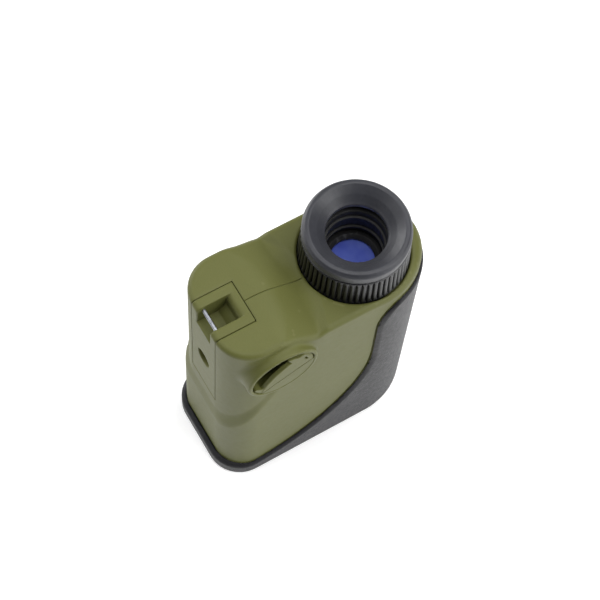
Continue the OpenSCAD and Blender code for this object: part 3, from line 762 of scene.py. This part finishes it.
def make_spring():
    """Conical contact spring of the battery cap: one wire wound in four turns."""
    turns, wire, segments, sides = 3.6, 0.36, 160, 10
    points = []
    for k in range(segments + 1):
        t = k / segments
        angle = 2 * math.pi * turns * t
        radius = 5.2 - 3.2 * t
        middle = np.array([16.3 - wire - 1.9 * t, math.cos(angle) * radius, math.sin(angle) * radius])
        outward = np.array([0, math.cos(angle), math.sin(angle)])
        for j in range(sides):
            side = 2 * math.pi * j / sides
            points.append(middle + wire * (math.cos(side) * outward + math.sin(side) * np.array([1.0, 0, 0])))
    points = np.array(points) + np.array([0, BATTERY_Y, BATTERY_Z])
    faces = []
    for k in range(segments):
        for j in range(sides):
            a, b = k * sides + j, k * sides + (j + 1) % sides
            faces.append([a, b, b + sides, a + sides])
    mesh_faces = faces + [list(range(sides))[::-1], [segments * sides + j for j in range(sides)]]
    mesh = bpy.data.meshes.new("contact_spring")
    mesh.from_pydata((points * MM).tolist(), [], mesh_faces)
    mesh.shade_smooth()
    obj = bpy.data.objects.new("contact_spring", mesh)
    bpy.context.collection.objects.link(obj)
    stand_for(obj, "cap_core", "steel", MATERIALS["steel"], "cap_spring")


def ribbed(angle, profile):
    """Ring profile with upright ribs pressed into its outer wall."""
    ribs, depth = RIBS, 1.0
    phase = (angle * ribs / (2 * math.pi)) % 1.0
    crest = math.sqrt(max(0.0, 1.0 - (abs(phase - 0.5) / 0.40) ** 2.6)) if abs(phase - 0.5) < 0.40 else 0.0
    out = profile.copy()
    radius, height = profile.T
    on_wall = (radius > 15.2) * ramp(height, 88.9, 89.9) * (1 - ramp(height, 99.5, 100.5))
    out[:, 0] = radius - depth * (1 - crest) * on_wall
    return out


def make_eyepiece():
    centre = (0, SIGHT_Y)
    wall = [(16.75, 88.9 + 0.37 * k, 0) for k in range(1, 31)]
    section = [(12.75, 88.4, 0.2), (16.2, 88.4, 0.3), (16.6, 88.9, 0.2)] + wall
    section += [(16.6, 100.7, 0.2), (16.2, 101.0, 0.2), (12.75, 101.0, 0.2)]
    section = [(r - 0.045 * max(0.0, z - 89), z, e) if r > 15 else (r, z, e) for r, z, e in section]
    ring = turned("focus_ring", section, "z", centre, RIBS * 12, 40, ribbed)
    stand_for(ring, "focus_ring", "black_plastic", RING_PLASTIC, "diopter_ring")

    foot = [(9.2, 100.4, 0.3), (12.3, 100.4, 0.2), (12.8, 101.02, 0.1), (15.75, 101.02, 0.08)]
    outside = [(16.1, 102.2, 0.8), (16.15, 104.6, 1.4), (15.3, 105.9, 0.9), (14.1, 106.0, 0.7)]
    funnel = [(11.6, 104.0, 2.2), (9.9, 102.3, 0.8), (9.2, 101.7, 0.4)]
    cup = turned("eye_cup", foot + outside + funnel, "z", centre, 160, 50)
    stand_for(cup, "focus_ring", "black_rubber", EYECUP_RUBBER, "eyecup")

    outside = [(10.85, 71, 0.2), (10.85, 97, 0.3), (9.7, 97, 0.2), (9.4, 96.6, 0.1)]
    ridges = []
    for top in (94.2, 88.2):
        ridges += [(9.4, top, 0.1), (8.7, top - 0.1, 0.12), (8.7, top - 0.5, 0.12), (9.4, top - 0.6, 0.1)]
    foot = [(9.4, 72, 0), (8.9, 72, 0), (8.9, 71, 0)]
    barrel = turned("ocular_barrel", outside + ridges + foot, "z", centre, 128)
    stand_for(barrel, "ocular", "black_anodised", MATERIALS["black_anodised"], "ocular_cell")

    keeper = turned("lens_keeper", [(9.38, 83.3, 0), (9.38, 84.6, 0.2), (8.0, 84.9, 0.2), (6.9, 83.9, 0.15),
                                    (6.9, 83.3, 0)], "z", centre, 128)
    stand_for(keeper, "ocular", "black_anodised", MATERIALS["black_anodised"], "eye_lens_ring")


def lens_section(r, low, high, low_bulge, high_bulge, steps=14):
    """Half section of a lens from its axis out and back."""
    low_side = [(r * k / steps, low + low_bulge * (k / steps) ** 2, 0) for k in range(steps + 1)]
    high_side = [(r * k / steps, high - high_bulge * (k / steps) ** 2, 0) for k in range(steps, -1, -1)]
    return low_side + high_side


def make_lenses():
    spots = (
        ("eye_glass", "eye_lens", "coated_glass", "ocular", SIGHT_Y, (9.38, 78.9, 83.3, 1.4, 1.2)),
        ("field_glass", "field_lens", "coated_glass", "ocular", SIGHT_Y, (9.38, 72.0, 75.6, 0.8, 1.2)),
        ("front_glass", "objective_crown", "coated_glass", "root", SIGHT_Y, (11.0, 5.0, 9.6, 1.6, 0.0)),
        ("receiver_glass", "receiver_lens", "receiver_glass", "root", RECEIVER_Y, (9.6, 5.0, 9.8, 1.8, 0.6)),
        ("laser_glass", "laser_lens", "receiver_glass", "root", LASER_Y, (2.8, 4.6, 6.8, 0.5, 0.2)),
    )
    for name, node, slot, body, axis_y, shape in spots:
        lens = turned(name, lens_section(*shape), "z", (0, axis_y), 96, 40)
        stand_for(lens, body, slot, MATERIALS[slot], node)


def make_small_metal():
    pin = turned("strap_bar", [(0, -6), (0.5, -6, 0), (0.58, -5.9, 0), (0.58, 5.9, 0), (0.5, 6, 0), (0, 6)],
                 "x", (PIN_Y, PIN_Z), 32)
    stand_for(pin, "root", "steel", MATERIALS["steel"], "strap_pin")

    def threaded(angle, profile):
        out = profile.copy()
        turn = (profile[:, 1] / 1.27 + angle / (2 * math.pi)) % 1.0
        depth = 0.5 * (1 - np.abs(2 * turn - 1)) * (profile[:, 0] < 3.0)
        out[:, 0] = profile[:, 0] + depth
        return out

    bore = [(2.62, y, 0) for y in np.arange(-28.6, -33.25, -0.12)]
    outside = [(4.58, -33.2, 0), (4.58, -27.85, 0), (0, -27.85, 0), (0, -28.5, 0)]
    bush = turned("tripod_thread", outside + bore, "y", (0, TRIPOD_Z), 72, 60, threaded)
    stand_for(bush, "root", "brass", MATERIALS["brass"], "tripod_bush")


# ---- Stage, light and camera -------------------------------------------------------


def make_stage():
    mesh = bpy.data.meshes.new("floor")
    reach = 1.6
    mesh.from_pydata([(-reach, -reach, 0), (reach, -reach, 0), (reach, reach, 0), (-reach, reach, 0)], [],
                     [(0, 1, 2, 3)])
    floor = bpy.data.objects.new("floor", mesh)
    bpy.context.collection.objects.link(floor)
    s = Shader("studio_floor", Roughness=0.7)
    s.set("Base Color", s.blend(s.noise(0.01, 2), (0.87, 0.87, 0.87, 1), (0.9, 0.9, 0.9, 1)))
    s.bsdf.inputs["Emission Color"].default_value = (1, 1, 1, 1)
    s.bsdf.inputs["Emission Strength"].default_value = 0.3
    mesh.materials.append(s.material)

    world = bpy.data.worlds.new("studio")
    bpy.context.scene.world = world
    world.use_nodes = True
    world.node_tree.nodes["Background"].inputs["Color"].default_value = (1, 1, 1, 1)
    world.node_tree.nodes["Background"].inputs["Strength"].default_value = 0.05


LIGHTS = (  # name, turn from -Y towards +X, rise, distance in metres, size, power
    ("left", -75, 20, 0.85, 0.5, 5.0),
    ("front", -25, 48, 0.85, 0.5, 1.8),
    ("low_right", 125, 18, 0.85, 0.5, 2.8),
    ("right", 125, 48, 0.85, 0.5, 3.6),
    ("rear", 200, 48, 0.85, 0.5, 2.6),
    ("top", 0, 89, 0.95, 0.6, 4.3),
)


def make_lights():
    """Soft square lights in a ring round the object, all aimed at its middle."""
    middle = Vector((0, 0, 0.055))
    for name, turn, rise, distance, size, power in LIGHTS:
        a, e = math.radians(turn), math.radians(rise)
        away = Vector((math.sin(a) * math.cos(e), -math.cos(a) * math.cos(e), math.sin(e)))
        data = bpy.data.lights.new(name, "AREA")
        data.shape = "SQUARE"
        data.size = size
        data.energy = power
        light = bpy.data.objects.new(name, data)
        light.location = middle + away * distance
        light.rotation_euler = away.to_track_quat("Z", "Y").to_euler()
        bpy.context.collection.objects.link(light)


def make_camera():
    """Camera at the photograph's angle, from its fitted turn, rise, roll and distance."""
    azimuth, rise, roll = math.radians(54.0), math.radians(66.15), math.radians(6.26)
    target, distance, lens = Vector((-7.91, 4.26, 50.99)) * MM, 562.84 * MM, 107.36
    back = Vector((math.sin(azimuth) * math.cos(rise), -math.cos(azimuth) * math.cos(rise), math.sin(rise)))
    right = Vector((math.cos(azimuth), math.sin(azimuth), 0))
    up = back.cross(right)
    rolled_right = right * math.cos(roll) + up * math.sin(roll)
    rolled_up = up * math.cos(roll) - right * math.sin(roll)
    data = bpy.data.cameras.new("camera")
    data.sensor_width = 36
    data.lens = lens
    data.clip_start = 0.01
    camera = bpy.data.objects.new("camera", data)
    turn = Matrix((rolled_right, rolled_up, back)).transposed()
    camera.matrix_world = Matrix.Translation(target + back * distance) @ turn.to_4x4()
    bpy.context.collection.objects.link(camera)
    bpy.context.scene.camera = camera
    bpy.context.scene.view_settings.view_transform = "Standard"


make_camera()
make_stage()
make_lights()
dress_cad_nodes()
make_casing()
make_buttons()
make_battery_parts()
make_spring()
make_eyepiece()
make_lenses()
make_small_metal()
